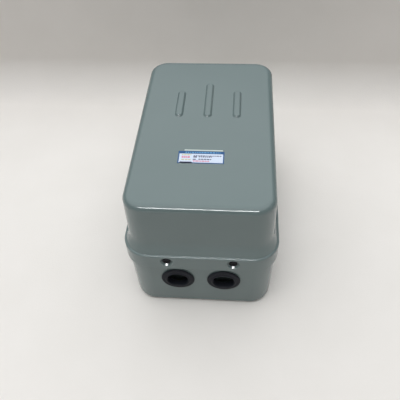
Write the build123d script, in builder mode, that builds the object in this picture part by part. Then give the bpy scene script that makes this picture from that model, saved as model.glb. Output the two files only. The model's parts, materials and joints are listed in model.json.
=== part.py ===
"""Magnetic motor starter: a three-pole contactor and a thermal overload relay in a drawn steel box.

Frame, in millimetres: the origin is the middle of the back face, +Z comes out of the back towards the
cover's front face, +Y runs to the upper end, away from the cable entries, and +X is to the right.
"""

import math
import os

from build123d import *

# ------------------------------------------------------------------ enclosure, driving dimensions
SHEET = 1.2  # steel sheet of the base and the cover

COVER_WIDTH = 120.0  # across the cover's walls, just above the shoulder
COVER_LENGTH = 195.0
COVER_TOP = 127.5  # height of the cover's front face over the back
COVER_CORNER = 17.5  # corner radius in plan
COVER_EDGE = 5.5  # radius between the walls and the front face
COVER_DRAFT = 0.8  # degrees

SHOULDER_Z = 73.5  # top of the step from the wall out to the rim
RIM_BOTTOM = 57.0
RIM_STEP = 5.0  # how far the rim stands out from the wall
SHOULDER_EDGE = 1.5
FLARE = 3.4  # how far the wall leans out just above the shoulder
FLARE_ANGLE = 20.0  # degrees from upright
FLARE_ROOT = 24.0  # radius where the wall starts to lean out
LEDGE_ROOT = 0.6
RIM_ROUND = 0.5  # radius of the rim's lower edge

BASE_DRAFT = 1.5  # degrees
BASE_EDGE = 4.5  # radius between the base's walls and its back
RIM_CLEARANCE = 0.4  # between the rim and the base's wall
SEAT_GAP = 0.3  # between the shoulder and the base's upper edge

RIB_WIDTH = 7.5
RIB_HEIGHT = 1.5
RIB_FLANK = 44.0  # degrees from upright
RIB_ROUND = 1.2  # radius along the top and the foot of a rib
RIB_LOWER_END = 9.8  # y where the three ribs end together
RIBS = ((-24.6, 37.0), (0.8, 49.0), (26.4, 38.0))  # x of each rib and its length

PLATE_SIZE = (37.4, 13.9)  # nameplate
NAMEPLATE_CENTRE = (-1.2, -41.2)
NAMEPLATE_THICK = 0.3

COVER_SCREW_X = 27.5
COVER_SCREW_Z = 66.3
DIMPLE_MOUTH = 5.3  # radius
DIMPLE_FLOOR = 3.8  # radius
DIMPLE_DEPTH = 1.9
SCREW_RADIUS = 2.0
SCREW_HEAD = (3.4, 1.0)  # radius and thickness of the cover screw's low head
SCREW_LENGTH = 6.5
SCREW_CLEARANCE = 0.06  # round the shank, in a tapped bar or a dimple
NOTCH_CLEARANCE = 0.5  # round a dimple, in the base's wall
CLAMP_BAR = (72.0, 2.0, 10.0)  # length, thickness and height
CLAMP_GAP = 0.35
HEAD_GAP = 0.05  # under a cover screw's head

GROMMET_X = 19.75
GROMMET_Z = 39.2
GROMMET_BORE = 9.0  # radius
GROMMET_NECK = 10.9
GROMMET_FLANGE = 14.25
GROMMET_FLANGE_THICK = 2.0
GROMMET_INNER_FLANGE = 12.8
GROMMET_ROUND = 0.8
GROMMET_CLEARANCE = 0.1

WALL_HOLE_RADIUS = 3.25
WALL_HOLES = (92.0, 168.0)  # spacing across and along

# ------------------------------------------------------------------ mounting plate and fasteners
STANDOFF_HEIGHT = 8.0
STANDOFF_RADIUS = 4.0
STANDOFF_SPACING = (85.0, 136.0)
CHASSIS_THICK = 1.5
CHASSIS_SIZE = (96.0, 146.0)
CHASSIS_Y = 5.0
FOOT_SCREW_X = 42.5  # x of the screws through the contactor's and the relay's feet
FOOT_END = 46.0
FOOT_HALF = 5.0
FOOT_HEIGHT = 5.0
M4 = 2.0  # shank radii
M35 = 1.75
M3 = 1.5
HOLE_CLEARANCE = 0.15  # round a fixed screw's shank

EARTH_POINT = (0.0, -84.0)
EARTH_BOSS_HEIGHT = 7.0
EARTH_BOSS_RADIUS = 5.0

# ------------------------------------------------------------------ contactor, heights over the chassis
CONTACTOR_Y = 35.0
HALF_WIDTH = 38.0  # contactor and relay
CONTACTOR_HALF_LENGTH = 41.0
CONTACTOR_FOOT_Y = 26.0
TRAVEL = 5.0  # of the armature, from open to closed
TOUCH_GAP = 0.05  # left between faces that meet at the end of travel

COIL_CASE_FLOOR = 3.0
COIL_CASE_TOP = 54.0
COIL_CAVITY = (31.5, 26.5)  # half sizes
CUSHION_THICK = 1.5
CORE_HALF_WIDTH = 30.0
CORE_HALF_DEPTH = 12.0
CENTRE_LIMB = 9.0  # half width
OUTER_LIMB = 9.0
FIXED_YOKE = 8.5
POLE_FACE = 30.0
ARMATURE_YOKE_BOTTOM = 44.5
ARMATURE_YOKE_TOP = 53.5
CARRIER_FOOT = 53.7
CARRIER_ARM = (6.0, 24.0, 50.0, 57.5)  # half width, reach in y, underside and top
CARRIER_EAR = (12.3, 15.3, 45.0)  # from and to in y, and the lower end
CORE_PIN = (2.0, 15.0, 49.0)  # radius, half length and height
RETURN_SPRING = (19.5, 3.0, 0.4, 4.5)  # y, mean radius, wire radius and turns
BOBBIN_BOTTOM = 13.2
BOBBIN_TOP = 38.5
BOBBIN_WALL = 1.2
BOBBIN_FLANGE = (20.5, 25.5)  # half sizes
SHADING_RING = (6.4, 22.0, 1.4, 2.2)  # size in x, size in y, wall, height

POLE_PITCH = 18.0
POLES = (-1.5 * POLE_PITCH, -0.5 * POLE_PITCH, 0.5 * POLE_PITCH, 1.5 * POLE_PITCH)
MAIN_POLES = POLES[:3]
CHANNEL_WIDTH = 14.5
CONTACT_FLOOR = 62.5
CONTACT_CASE_TOP = 84.0
ARC_COVER_TOP = 96.0
ARC_COVER_HALF_LENGTH = 27.0
STRIP_THICK = 1.3
STRIP_WIDTH = 9.0
TIP_RADIUS = 2.5
TIP_THICK = 1.2
TIP_Y = 15.0
TERMINAL_Y = 34.0
BRIDGE_THICK = 1.25
BRIDGE_WIDTH = 8.0
BRIDGE_HALF_LENGTH = 18.0
WINDOW_TOP = 86.0
WINDOW_WIDTH = 12.0
COMB_BOTTOM = 68.0
COMB_TOP = 90.0
COMB_HALF_WIDTH = 36.0
WEB_HALF_WIDTH = 28.0
WEB_HALF_DEPTH = 5.5
SLIDE_CLEARANCE = 0.5
CONDUCTOR_GAP = 1.25  # between a terminal strip and its saddle
SADDLE_THICK = 1.2
ARC_SCREW_Y = 22.0
COIL_TERMINAL = (14.0, 45.5)  # x and y of the coil's terminal screws
COIL_LEDGE_END = 50.0
COIL_LEDGE_HALF = 22.0
COIL_TAG_HALF = 3.5
TAG_THICK = 1.2
RING_GAP = 0.1
STEM = (6.0, 4.0)  # half sizes of the carrier's indicator stem
ARC_BOSS = 3.2
ARC_SCREW_SEAT = 93.5
CASE_SCREW_HEAD = 2.75
CASE_SCREW_SEAT = 4.0
CASE_SCREWS = (34.8, 34.0)  # x and y of the screws that join the two mouldings

# ------------------------------------------------------------------ overload relay, heights over the chassis
RELAY_Y = -40.0
RELAY_HALF_LENGTH = 23.0
RELAY_TOP = 58.0
RELAY_LID_THICK = 3.5
RELAY_FLOOR = 4.0
RELAY_WALL = 3.0
RELAY_WALLS = (-35.0, 17.5, 20.5, 35.0)  # x of the heater chamber's and the trip chamber's walls
PARTITION = 2.0
LEDGE_HALF = 36.0
LID_FIT = 0.2
LID_LIP = 1.5
LEDGE_END = 32.0
LEDGE_TOP = 39.0
RELAY_TERMINAL_Y = 27.5
SIGNAL_TERMINALS_X = (23.5, 31.5)
SIGNAL_WIDTH = 5.5
SIGNAL_INNER_END = 14.5
DROP_Y = 8.8  # where the current paths turn down to the heaters
BIMETAL_FOOT = 8.0
BIMETAL = (0.8, 8.0, 42.0)  # thickness, width and length
HEATER_TURNS = 10
HEATER_PITCH = 2.3
HEATER_BOTTOM = 12.0
HEATER_RADIUS = 5.3
HEATER_WIRE = 0.5
TRIP_TRAVEL = 2.0
TRIP_BAR_Z = (44.0, 47.0)
TRIP_BAR_Y = (5.0, 8.0)
LEVER_PIVOT = (28.2, 30.0)  # x and z
LEVER_Y = (4.0, 9.0)
LEVER_TOP = 50.0
LEVER_HALF = 1.5
LEVER_BOSS = 3.2
LEVER_BRACKET = 2.0
BAR_TO_LEVER = 0.4
FINGER_GAP = 0.3
PIN_RADIUS = 1.5
PIN_CLEARANCE = 0.05
RESET_POINT = (27.5, -9.0)
RESET_TRAVEL = 4.0
RESET_SEAT = 38.0
RESET_SEAT_RADIUS = 5.0
RESET_RADIUS = 4.0
RESET_GAP = 0.3
RESET_COLLAR = 5.2
RESET_STEM = 2.2
RESET_TOP = 68.0
DIAL_POINT = (27.5, 12.0)
DIAL_RADIUS = 6.0
DIAL_SHAFT = 2.4
DIAL_THICK = 3.0
DIAL_GAP = 0.3

# ------------------------------------------------------------------ wiring
LINK_THICK = 1.2
LINK_WIDTH = 8.0
LINK_STANDOFF = 1.2
WIRE_RADIUS = 1.3
WIRE_LANE = 46.0  # x of the long runs down the sides
FERRULE_RADIUS = 0.6
FERRULE_SIDE = 2.6  # a wire enters beside the terminal's screw

# ------------------------------------------------------------------ derived sizes
rim_width = COVER_WIDTH + 2 * RIM_STEP
rim_length = COVER_LENGTH + 2 * RIM_STEP
rim_corner = COVER_CORNER + RIM_STEP
rim_end = rim_length / 2
base_width = rim_width - 2 * (SHEET + RIM_CLEARANCE)
base_length = rim_length - 2 * (SHEET + RIM_CLEARANCE)
base_corner = rim_corner - SHEET - RIM_CLEARANCE
base_top = SHOULDER_Z - SHEET - SEAT_GAP
chassis_bottom = SHEET + STANDOFF_HEIGHT
chassis_top = chassis_bottom + CHASSIS_THICK
bar_face = rim_end - DIMPLE_DEPTH - SHEET - CLAMP_GAP
strip_top = CONTACT_FLOOR + STRIP_THICK
fixed_tip_top = strip_top + TIP_THICK
bridge_bottom = fixed_tip_top + TRAVEL + TOUCH_GAP + TIP_THICK
bridge_top = bridge_bottom + BRIDGE_THICK
armature_face = POLE_FACE + TRAVEL + TOUCH_GAP
relay_strip_top = LEDGE_TOP + STRIP_THICK
contactor_frame = Plane((0, CONTACTOR_Y, chassis_top))
relay_frame = Plane((0, RELAY_Y, chassis_top))

os.makedirs("parts", exist_ok=True)


# ------------------------------------------------------------------ helpers
def save(built, name):
    """Labels a finished piece and writes its STEP file."""
    built.part.label = name
    export_step(built.part, f"parts/{name}.step")


def block(x, y, z, mode=Mode.ADD):
    """A block between two values along each axis, in the open builder's own frame."""
    with Locations(((x[0] + x[1]) / 2, (y[0] + y[1]) / 2, (z[0] + z[1]) / 2)):
        Box(x[1] - x[0], y[1] - y[0], z[1] - z[0], mode=mode)


def post(at, radius, z, mode=Mode.ADD):
    """Upright round posts, or holes, at points in plan, between two heights."""
    with Locations(*[(x, y, (z[0] + z[1]) / 2) for x, y in at]):
        Cylinder(radius, z[1] - z[0], mode=mode)


def around(middle, half):
    """The pair of values half a width either side of the middle."""
    return (middle - half, middle + half)


def both_sides(x, y):
    """The four points at plus and minus x and y."""
    return [(x, y), (-x, y), (-x, -y), (x, -y)]


def pan_screw(radius, length, head_radius, head_height):
    """A pan-head screw with a cross recess, standing on z = 0 with its shank below."""
    recess = 0.55 * head_height
    arm = 1.2 * head_radius
    slot_width = 0.25 * head_radius
    with BuildPart() as screw:
        Cylinder(head_radius, head_height, align=(Align.CENTER, Align.CENTER, Align.MIN))
        fillet(screw.edges().group_by(Axis.Z)[-1], 0.35 * head_height)
        with Locations((0, 0, head_height - recess / 2)):
            Box(arm, slot_width, recess, mode=Mode.SUBTRACT)
            Box(slot_width, arm, recess, mode=Mode.SUBTRACT)
        Cylinder(radius, length, align=(Align.CENTER, Align.CENTER, Align.MAX))
    return screw.part


def terminal_screw(radius, strip_height, shank_end, saddle_size):
    """A terminal's screw over its square saddle, for a strip whose top is at strip_height."""
    saddle_bottom = strip_height + CONDUCTOR_GAP
    seat = saddle_bottom + SADDLE_THICK
    with BuildPart() as clamp:
        with Locations((0, 0, seat)):
            add(pan_screw(radius, seat - shank_end, 1.9 * radius, 1.4 * radius))
        block(around(0, saddle_size / 2), around(0, saddle_size / 2), (saddle_bottom, seat))
    return clamp.part


def coil_spring(frame, bottom, top, mean_radius, wire_radius, turns):
    """A round-wire compression spring between two heights, ready to save."""
    with BuildPart() as spring:
        with BuildLine(frame.offset(bottom + wire_radius)) as path:
            height = top - bottom - 2 * wire_radius
            Helix(pitch=height / turns, height=height, radius=mean_radius)
        with BuildSketch(Plane(origin=path.line @ 0, z_dir=path.line % 0)):
            Circle(wire_radius)
        sweep(is_frenet=True)
    return spring


def base_wall_y(z):
    """How far the base's end wall stands from the middle, outside, at a height."""
    return base_length / 2 - (base_top - z) * math.tan(math.radians(BASE_DRAFT))


# ------------------------------------------------------------------ base box
downwards = Plane((0, 0, base_top), x_dir=(1, 0, 0), z_dir=(0, 0, -1))
grommet_planes = [
    Plane(
        (side * GROMMET_X, -base_wall_y(GROMMET_Z), GROMMET_Z),
        x_dir=(1, 0, 0),
        z_dir=(0, -math.cos(math.radians(BASE_DRAFT)), -math.sin(math.radians(BASE_DRAFT))),
    )
    for side in (-1, 1)
]
dimple_outer = DIMPLE_MOUTH + SHEET * 0.55  # the dimple's metal, seen from inside
notch_half = dimple_outer + NOTCH_CLEARANCE

with BuildPart() as base_hollow:
    with BuildSketch(downwards):
        RectangleRounded(base_width - 2 * SHEET, base_length - 2 * SHEET, base_corner - SHEET)
    extrude(amount=base_top - SHEET, taper=BASE_DRAFT)
    fillet(base_hollow.faces().sort_by(Axis.Z)[0].edges(), BASE_EDGE - SHEET)

with BuildPart() as base_box:
    with BuildSketch(downwards):
        RectangleRounded(base_width, base_length, base_corner)
    extrude(amount=base_top, taper=BASE_DRAFT)
    fillet(base_box.faces().sort_by(Axis.Z)[0].edges(), BASE_EDGE)
    add(base_hollow.part, mode=Mode.SUBTRACT)
    with Locations(*grommet_planes):
        Cylinder(GROMMET_NECK + GROMMET_CLEARANCE, 4 * SHEET, mode=Mode.SUBTRACT)
    with GridLocations(*WALL_HOLES, 2, 2):
        Cylinder(WALL_HOLE_RADIUS, 4 * SHEET, mode=Mode.SUBTRACT)
    # open-topped notches that take the cover's dimples
    with BuildSketch(Plane.XZ):
        with Locations((-COVER_SCREW_X, COVER_SCREW_Z), (COVER_SCREW_X, COVER_SCREW_Z)):
            Circle(notch_half)
            Rectangle(2 * notch_half, 2 * (SHOULDER_Z - COVER_SCREW_Z), align=(Align.CENTER, Align.MIN))
    extrude(amount=rim_end, both=True, mode=Mode.SUBTRACT)
save(base_box, "base_box")

# ------------------------------------------------------------------ cover
flare_height = 1.2 * FLARE / math.tan(math.radians(FLARE_ANGLE))  # it ends inside the wall
inner_flare = FLARE - SHEET * math.tan(math.radians(45 - FLARE_ANGLE / 2))
with BuildPart() as cover_hollow:
    with BuildSketch(Plane.XY.offset(RIM_BOTTOM)):
        RectangleRounded(rim_width - 2 * SHEET, rim_length - 2 * SHEET, rim_corner - SHEET)
    extrude(amount=SHOULDER_Z - SHEET - RIM_BOTTOM)
    fillet(cover_hollow.faces().sort_by(Axis.Z)[-1].edges(), SHOULDER_EDGE - SHEET)
    with BuildSketch(Plane.XY.offset(SHOULDER_Z - SHEET)):
        RectangleRounded(
            COVER_WIDTH + 2 * inner_flare, COVER_LENGTH + 2 * inner_flare, COVER_CORNER + inner_flare
        )
    extrude(amount=flare_height, taper=FLARE_ANGLE)
    with BuildSketch(Plane.XY.offset(SHOULDER_Z - SHEET)):
        RectangleRounded(COVER_WIDTH - 2 * SHEET, COVER_LENGTH - 2 * SHEET, COVER_CORNER - SHEET)
    extrude(amount=COVER_TOP - SHOULDER_Z, taper=COVER_DRAFT)
    fillet(cover_hollow.faces().sort_by(Axis.Z)[-1].edges(), COVER_EDGE - SHEET)

dimple_planes = [
    Plane((side * COVER_SCREW_X, end * rim_end, COVER_SCREW_Z), z_dir=(0, -end, 0), x_dir=(1, 0, 0))
    for end in (-1, 1)
    for side in (-1, 1)
]
from_mouth = (Align.CENTER, Align.CENTER, Align.MIN)
rib_middles = [(x, RIB_LOWER_END + length / 2, length) for x, length in RIBS]

with BuildPart() as cover:
    with BuildSketch(Plane.XY.offset(RIM_BOTTOM)):
        RectangleRounded(rim_width, rim_length, rim_corner)
    extrude(amount=SHOULDER_Z - RIM_BOTTOM)
    fillet(cover.faces().sort_by(Axis.Z)[-1].edges(), SHOULDER_EDGE)
    fillet(cover.faces().sort_by(Axis.Z)[0].edges(), RIM_ROUND)
    with BuildSketch(Plane.XY.offset(SHOULDER_Z)):
        RectangleRounded(COVER_WIDTH + 2 * FLARE, COVER_LENGTH + 2 * FLARE, COVER_CORNER + FLARE)
    extrude(amount=flare_height, taper=FLARE_ANGLE)
    below_walls = cover.edges()
    with BuildSketch(Plane.XY.offset(SHOULDER_Z)):
        RectangleRounded(COVER_WIDTH, COVER_LENGTH, COVER_CORNER)
    extrude(amount=COVER_TOP - SHOULDER_Z, taper=COVER_DRAFT)
    lean_edges = [
        edge
        for edge in cover.edges() - below_walls
        if SHOULDER_Z + 1 < edge.center().Z < SHOULDER_Z + flare_height and edge.bounding_box().size.Z < 1
    ]
    fillet(lean_edges, FLARE_ROOT)
    fillet(cover.faces().sort_by(Axis.Z)[-1].edges(), COVER_EDGE)
    ledge = cover.faces().filter_by(Plane.XY).group_by(Axis.Z)[-2][0]
    fillet(ledge.inner_wires()[0].edges(), LEDGE_ROOT)
    add(cover_hollow.part, mode=Mode.SUBTRACT)
    # three ribs pressed outwards in the front face
    for x, y, length in rib_middles:
        with BuildSketch(Plane.XY.offset(COVER_TOP)):
            with Locations((x, y)):
                SlotOverall(length, RIB_WIDTH, rotation=90)
        extrude(amount=RIB_HEIGHT, taper=RIB_FLANK)
        with BuildSketch(Plane.XY.offset(COVER_TOP - SHEET)):
            with Locations((x, y)):
                SlotOverall(length, RIB_WIDTH, rotation=90)
        extrude(amount=RIB_HEIGHT, taper=RIB_FLANK, mode=Mode.SUBTRACT)
    rib_tops, front_face = cover.faces().filter_by(Plane.XY).group_by(Axis.Z)[:-3:-1]
    rib_feet = [edge for wire in front_face[0].inner_wires() for edge in wire.edges()]
    fillet([*rib_tops.edges(), *rib_feet], RIB_ROUND)
    # dimples pressed inwards for the cover screws
    with Locations(*dimple_planes):
        Cone(dimple_outer, DIMPLE_FLOOR + SHEET * 0.8, DIMPLE_DEPTH + SHEET, align=from_mouth)
        Cone(DIMPLE_MOUTH, DIMPLE_FLOOR, DIMPLE_DEPTH, align=from_mouth, mode=Mode.SUBTRACT)
        Cylinder(SCREW_RADIUS + SCREW_CLEARANCE, DIMPLE_DEPTH + 2 * SHEET,
                 align=from_mouth, mode=Mode.SUBTRACT)
save(cover, "cover")

with BuildPart() as nameplate:
    with BuildSketch(Plane.XY.offset(COVER_TOP)):
        with Locations(NAMEPLATE_CENTRE):
            RectangleRounded(*PLATE_SIZE, 0.8)
    extrude(amount=NAMEPLATE_THICK)
save(nameplate, "nameplate")

# ------------------------------------------------------------------ cover screws and their clamp bars
for end, name in ((-1, "clamp_bar_front"), (1, "clamp_bar_back")):
    inwards = Plane((0, end * bar_face, COVER_SCREW_Z), x_dir=(1, 0, 0), z_dir=(0, -end, 0))
    with BuildPart() as clamp_bar:
        with BuildSketch(inwards):
            RectangleRounded(CLAMP_BAR[0], CLAMP_BAR[2], 1.5)
            with Locations((-COVER_SCREW_X, 0), (COVER_SCREW_X, 0)):
                Circle(SCREW_RADIUS + SCREW_CLEARANCE, mode=Mode.SUBTRACT)
        extrude(amount=CLAMP_BAR[1])
    save(clamp_bar, name)

for number, (side, end) in enumerate(((-1, -1), (1, -1), (-1, 1), (1, 1)), start=1):
    seat_y = end * (rim_end - DIMPLE_DEPTH + HEAD_GAP)
    seat = Plane((side * COVER_SCREW_X, seat_y, COVER_SCREW_Z), x_dir=(1, 0, 0), z_dir=(0, end, 0))
    with BuildPart() as cover_screw:
        with Locations(seat):
            add(pan_screw(SCREW_RADIUS, SCREW_LENGTH, *SCREW_HEAD))
    save(cover_screw, f"cover_screw_{number}")

# ------------------------------------------------------------------ rubber grommets in the lower end wall
neck_length = SHEET + 2 * GROMMET_CLEARANCE
outer_face = GROMMET_CLEARANCE + GROMMET_FLANGE_THICK
inner_face = GROMMET_CLEARANCE - neck_length - GROMMET_FLANGE_THICK
with BuildPart() as grommet_form:
    post([(0, 0)], GROMMET_FLANGE, (GROMMET_CLEARANCE, outer_face))
    post([(0, 0)], GROMMET_NECK, (GROMMET_CLEARANCE - neck_length, GROMMET_CLEARANCE))
    post([(0, 0)], GROMMET_INNER_FLANGE, (inner_face, GROMMET_CLEARANCE - neck_length))
    post([(0, 0)], GROMMET_BORE, (inner_face, outer_face), Mode.SUBTRACT)
    for rounded_face in (grommet_form.faces().sort_by(Axis.Z)[-1], grommet_form.faces().sort_by(Axis.Z)[0]):
        fillet(rounded_face.edges(), GROMMET_ROUND)

for plane, name in zip(grommet_planes, ("grommet_left", "grommet_right")):
    with BuildPart() as grommet:
        with Locations(plane):
            add(grommet_form.part)
    save(grommet, name)

# ------------------------------------------------------------------ mounting plate, standoffs and earth point
standoff_points = [
    (x, CHASSIS_Y + y) for x, y in both_sides(STANDOFF_SPACING[0] / 2, STANDOFF_SPACING[1] / 2)
]
contactor_feet = both_sides(FOOT_SCREW_X, CONTACTOR_FOOT_Y)
relay_feet = [(-FOOT_SCREW_X, 0), (FOOT_SCREW_X, 0)]
device_holes = [(x, CONTACTOR_Y + y) for x, y in contactor_feet]
device_holes += [(x, RELAY_Y + y) for x, y in relay_feet]

with BuildPart() as standoffs:
    with BuildSketch(Plane.XY.offset(SHEET)):
        with Locations(*standoff_points):
            RegularPolygon(STANDOFF_RADIUS, 6, major_radius=False)
            Circle(M4 + HOLE_CLEARANCE, mode=Mode.SUBTRACT)
    extrude(amount=STANDOFF_HEIGHT)
save(standoffs, "standoffs")

with BuildPart() as chassis_plate:
    with BuildSketch(Plane.XY.offset(chassis_bottom)):
        with Locations((0, CHASSIS_Y)):
            RectangleRounded(*CHASSIS_SIZE, 4)
        with Locations(*standoff_points, *device_holes):
            Circle(M4 + HOLE_CLEARANCE, mode=Mode.SUBTRACT)
    extrude(amount=CHASSIS_THICK)
save(chassis_plate, "chassis_plate")

with BuildPart() as plate_screws:
    with Locations(*[(x, y, chassis_top) for x, y in standoff_points]):
        add(pan_screw(M4, STANDOFF_HEIGHT, 1.9 * M4, 1.3 * M4))
save(plate_screws, "plate_screws")

earth_seat = SHEET + EARTH_BOSS_HEIGHT
with BuildPart() as earth_boss:
    post([EARTH_POINT], EARTH_BOSS_RADIUS, (SHEET, earth_seat))
    post([EARTH_POINT], M4 + HOLE_CLEARANCE, (2 * SHEET, earth_seat), Mode.SUBTRACT)
save(earth_boss, "earth_boss")

with BuildPart() as earth_screw:
    post([EARTH_POINT], EARTH_BOSS_RADIUS, (earth_seat, earth_seat + SADDLE_THICK))
    with Locations((*EARTH_POINT, earth_seat + SADDLE_THICK)):
        add(pan_screw(M4, EARTH_BOSS_HEIGHT - 0.5, 1.9 * M4, 1.3 * M4))
save(earth_screw, "earth_screw")

# ------------------------------------------------------------------ contactor: coil case, magnet and coil
with BuildPart(contactor_frame) as contactor_base:
    block(around(0, HALF_WIDTH), around(0, CONTACTOR_HALF_LENGTH), (0, COIL_CASE_TOP))
    fillet(contactor_base.edges().filter_by(Axis.Z), 1.5)
    for y in (-CONTACTOR_FOOT_Y, CONTACTOR_FOOT_Y):
        block(around(0, FOOT_END), around(y, FOOT_HALF), (0, FOOT_HEIGHT))
    post(contactor_feet, M4 + HOLE_CLEARANCE, (0, FOOT_HEIGHT), Mode.SUBTRACT)
    block(around(0, COIL_LEDGE_HALF), (CONTACTOR_HALF_LENGTH, COIL_LEDGE_END), (28.0, BOBBIN_TOP))
    block(around(0, COIL_CAVITY[0]), around(0, COIL_CAVITY[1]), (COIL_CASE_FLOOR, COIL_CASE_TOP), Mode.SUBTRACT)
    for x in (-COIL_TERMINAL[0], COIL_TERMINAL[0]):
        slot_ends = (COIL_CAVITY[1], CONTACTOR_HALF_LENGTH)
        block(around(x, COIL_TAG_HALF + 0.3), slot_ends, (BOBBIN_TOP, COIL_CASE_TOP), Mode.SUBTRACT)
        post([(x, COIL_TERMINAL[1])], M35 + HOLE_CLEARANCE, (30.0, BOBBIN_TOP), Mode.SUBTRACT)
    post(both_sides(*CASE_SCREWS), M3 + HOLE_CLEARANCE, (0, COIL_CASE_TOP), Mode.SUBTRACT)
    post(both_sides(*CASE_SCREWS), CASE_SCREW_HEAD + 0.3, (0, CASE_SCREW_SEAT), Mode.SUBTRACT)
save(contactor_base, "contactor_base")

with BuildPart(contactor_frame) as core_cushion:
    cushion_top = COIL_CASE_FLOOR + CUSHION_THICK
    block(around(0, 24.0), around(0, 10.0), (COIL_CASE_FLOOR, cushion_top))
save(core_cushion, "core_cushion")

ring_x = CORE_HALF_WIDTH - OUTER_LIMB / 2
ring_wide, ring_long, ring_wall, ring_high = SHADING_RING
outer_limbs = [around(-ring_x, OUTER_LIMB / 2), around(ring_x, OUTER_LIMB / 2)]
with BuildPart(contactor_frame) as fixed_core:
    core_depth = around(0, CORE_HALF_DEPTH)
    yoke_top = cushion_top + FIXED_YOKE
    block(around(0, CORE_HALF_WIDTH), core_depth, (cushion_top, yoke_top))
    for limb in (around(0, CENTRE_LIMB), *outer_limbs):
        block(limb, core_depth, (yoke_top, POLE_FACE))
    with BuildSketch(contactor_frame.offset(POLE_FACE)):
        with Locations((-ring_x, 0), (ring_x, 0)):
            Rectangle(ring_wide + 2 * RING_GAP, ring_long + 2 * RING_GAP)
            Rectangle(
                ring_wide - 2 * (ring_wall + RING_GAP),
                ring_long - 2 * (ring_wall + RING_GAP),
                mode=Mode.SUBTRACT,
            )
    extrude(amount=-ring_high - 2 * RING_GAP, mode=Mode.SUBTRACT)
save(fixed_core, "fixed_core")

with BuildPart(contactor_frame) as shading_rings:
    with BuildSketch(contactor_frame.offset(POLE_FACE - RING_GAP)):
        with Locations((-ring_x, 0), (ring_x, 0)):
            Rectangle(ring_wide, ring_long)
            Rectangle(ring_wide - 2 * ring_wall, ring_long - 2 * ring_wall, mode=Mode.SUBTRACT)
    extrude(amount=-ring_high)
save(shading_rings, "shading_rings")

limb_gap = 0.3
tube_inner = (CENTRE_LIMB + limb_gap, CORE_HALF_DEPTH + limb_gap)
tube_outer = (tube_inner[0] + BOBBIN_WALL, tube_inner[1] + BOBBIN_WALL)
with BuildPart(contactor_frame) as coil_bobbin:
    block(around(0, tube_outer[0]), around(0, tube_outer[1]), (BOBBIN_BOTTOM, BOBBIN_TOP))
    for z in (BOBBIN_BOTTOM, BOBBIN_TOP - BOBBIN_WALL):
        block(around(0, BOBBIN_FLANGE[0]), around(0, BOBBIN_FLANGE[1]), (z, z + BOBBIN_WALL))
    block(around(0, tube_inner[0]), around(0, tube_inner[1]), (BOBBIN_BOTTOM, BOBBIN_TOP), Mode.SUBTRACT)
save(coil_bobbin, "coil_bobbin")

with BuildPart(contactor_frame) as coil_winding:
    with BuildSketch(contactor_frame.offset(BOBBIN_BOTTOM + BOBBIN_WALL)):
        RectangleRounded(2 * BOBBIN_FLANGE[0] - 2.0, 2 * BOBBIN_FLANGE[1] - 2.0, 4.0)
        Rectangle(2 * tube_outer[0], 2 * tube_outer[1], mode=Mode.SUBTRACT)
    extrude(amount=BOBBIN_TOP - BOBBIN_BOTTOM - 2 * BOBBIN_WALL)
save(coil_winding, "coil_winding")

coil_points = [(-COIL_TERMINAL[0], COIL_TERMINAL[1]), COIL_TERMINAL]
tag_top = BOBBIN_TOP + TAG_THICK
with BuildPart(contactor_frame) as coil_terminals:
    for x, y in coil_points:
        block(around(x, COIL_TAG_HALF), (21.0, COIL_LEDGE_END - 1.0), (BOBBIN_TOP, tag_top))
    post(coil_points, M35 + HOLE_CLEARANCE, (BOBBIN_TOP, tag_top), Mode.SUBTRACT)
save(coil_terminals, "coil_terminals")

with BuildPart(contactor_frame) as coil_terminal_screws:
    with Locations(*[(x, y, 0) for x, y in coil_points]):
        add(terminal_screw(M35, tag_top, 31.0, 7.0))
save(coil_terminal_screws, "coil_terminal_screws")

# ------------------------------------------------------------------ contactor: armature and moving contacts
pin_radius, pin_half, pin_height = CORE_PIN
pin_hole = Plane((0, CONTACTOR_Y, chassis_top + pin_height), x_dir=(1, 0, 0), z_dir=(0, 1, 0))
with BuildPart(contactor_frame) as moving_core:
    block(around(0, CORE_HALF_WIDTH), core_depth, (ARMATURE_YOKE_BOTTOM, ARMATURE_YOKE_TOP))
    for limb in (around(0, CENTRE_LIMB), *outer_limbs):
        block(limb, core_depth, (armature_face, ARMATURE_YOKE_BOTTOM))
    with BuildSketch(pin_hole):
        Circle(pin_radius + PIN_CLEARANCE)
    extrude(amount=CORE_HALF_DEPTH, both=True, mode=Mode.SUBTRACT)
save(moving_core, "moving_core")

with BuildPart() as core_pin:
    with BuildSketch(pin_hole):
        Circle(pin_radius)
    extrude(amount=pin_half, both=True)
save(core_pin, "core_pin")

arm_half, arm_reach, arm_underside, arm_top = CARRIER_ARM
ear_from, ear_to, ear_bottom = CARRIER_EAR
with BuildPart(contactor_frame) as contact_carrier:
    block(around(0, WEB_HALF_WIDTH), around(0, WEB_HALF_DEPTH), (CARRIER_FOOT, COMB_BOTTOM))
    block(around(0, COMB_HALF_WIDTH), around(0, WEB_HALF_DEPTH), (COMB_BOTTOM, COMB_TOP))
    block(around(0, STEM[0]), around(0, STEM[1]), (COMB_TOP, ARC_COVER_TOP))
    block(around(0, arm_half), around(0, arm_reach), (CARRIER_FOOT, arm_top))
    for side in (-1, 1):
        arm = sorted((side * ear_from, side * arm_reach))
        block(around(0, arm_half), arm, (arm_underside, CARRIER_FOOT))
        ear = sorted((side * ear_from, side * ear_to))
        block(around(0, arm_half), ear, (ear_bottom, arm_underside))
    with BuildSketch(pin_hole):
        Circle(pin_radius + PIN_CLEARANCE)
    extrude(amount=arm_reach, both=True, mode=Mode.SUBTRACT)
    for x in POLES:
        block(around(x, WINDOW_WIDTH / 2), around(0, WEB_HALF_DEPTH), (bridge_bottom, WINDOW_TOP), Mode.SUBTRACT)
save(contact_carrier, "contact_carrier")

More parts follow.
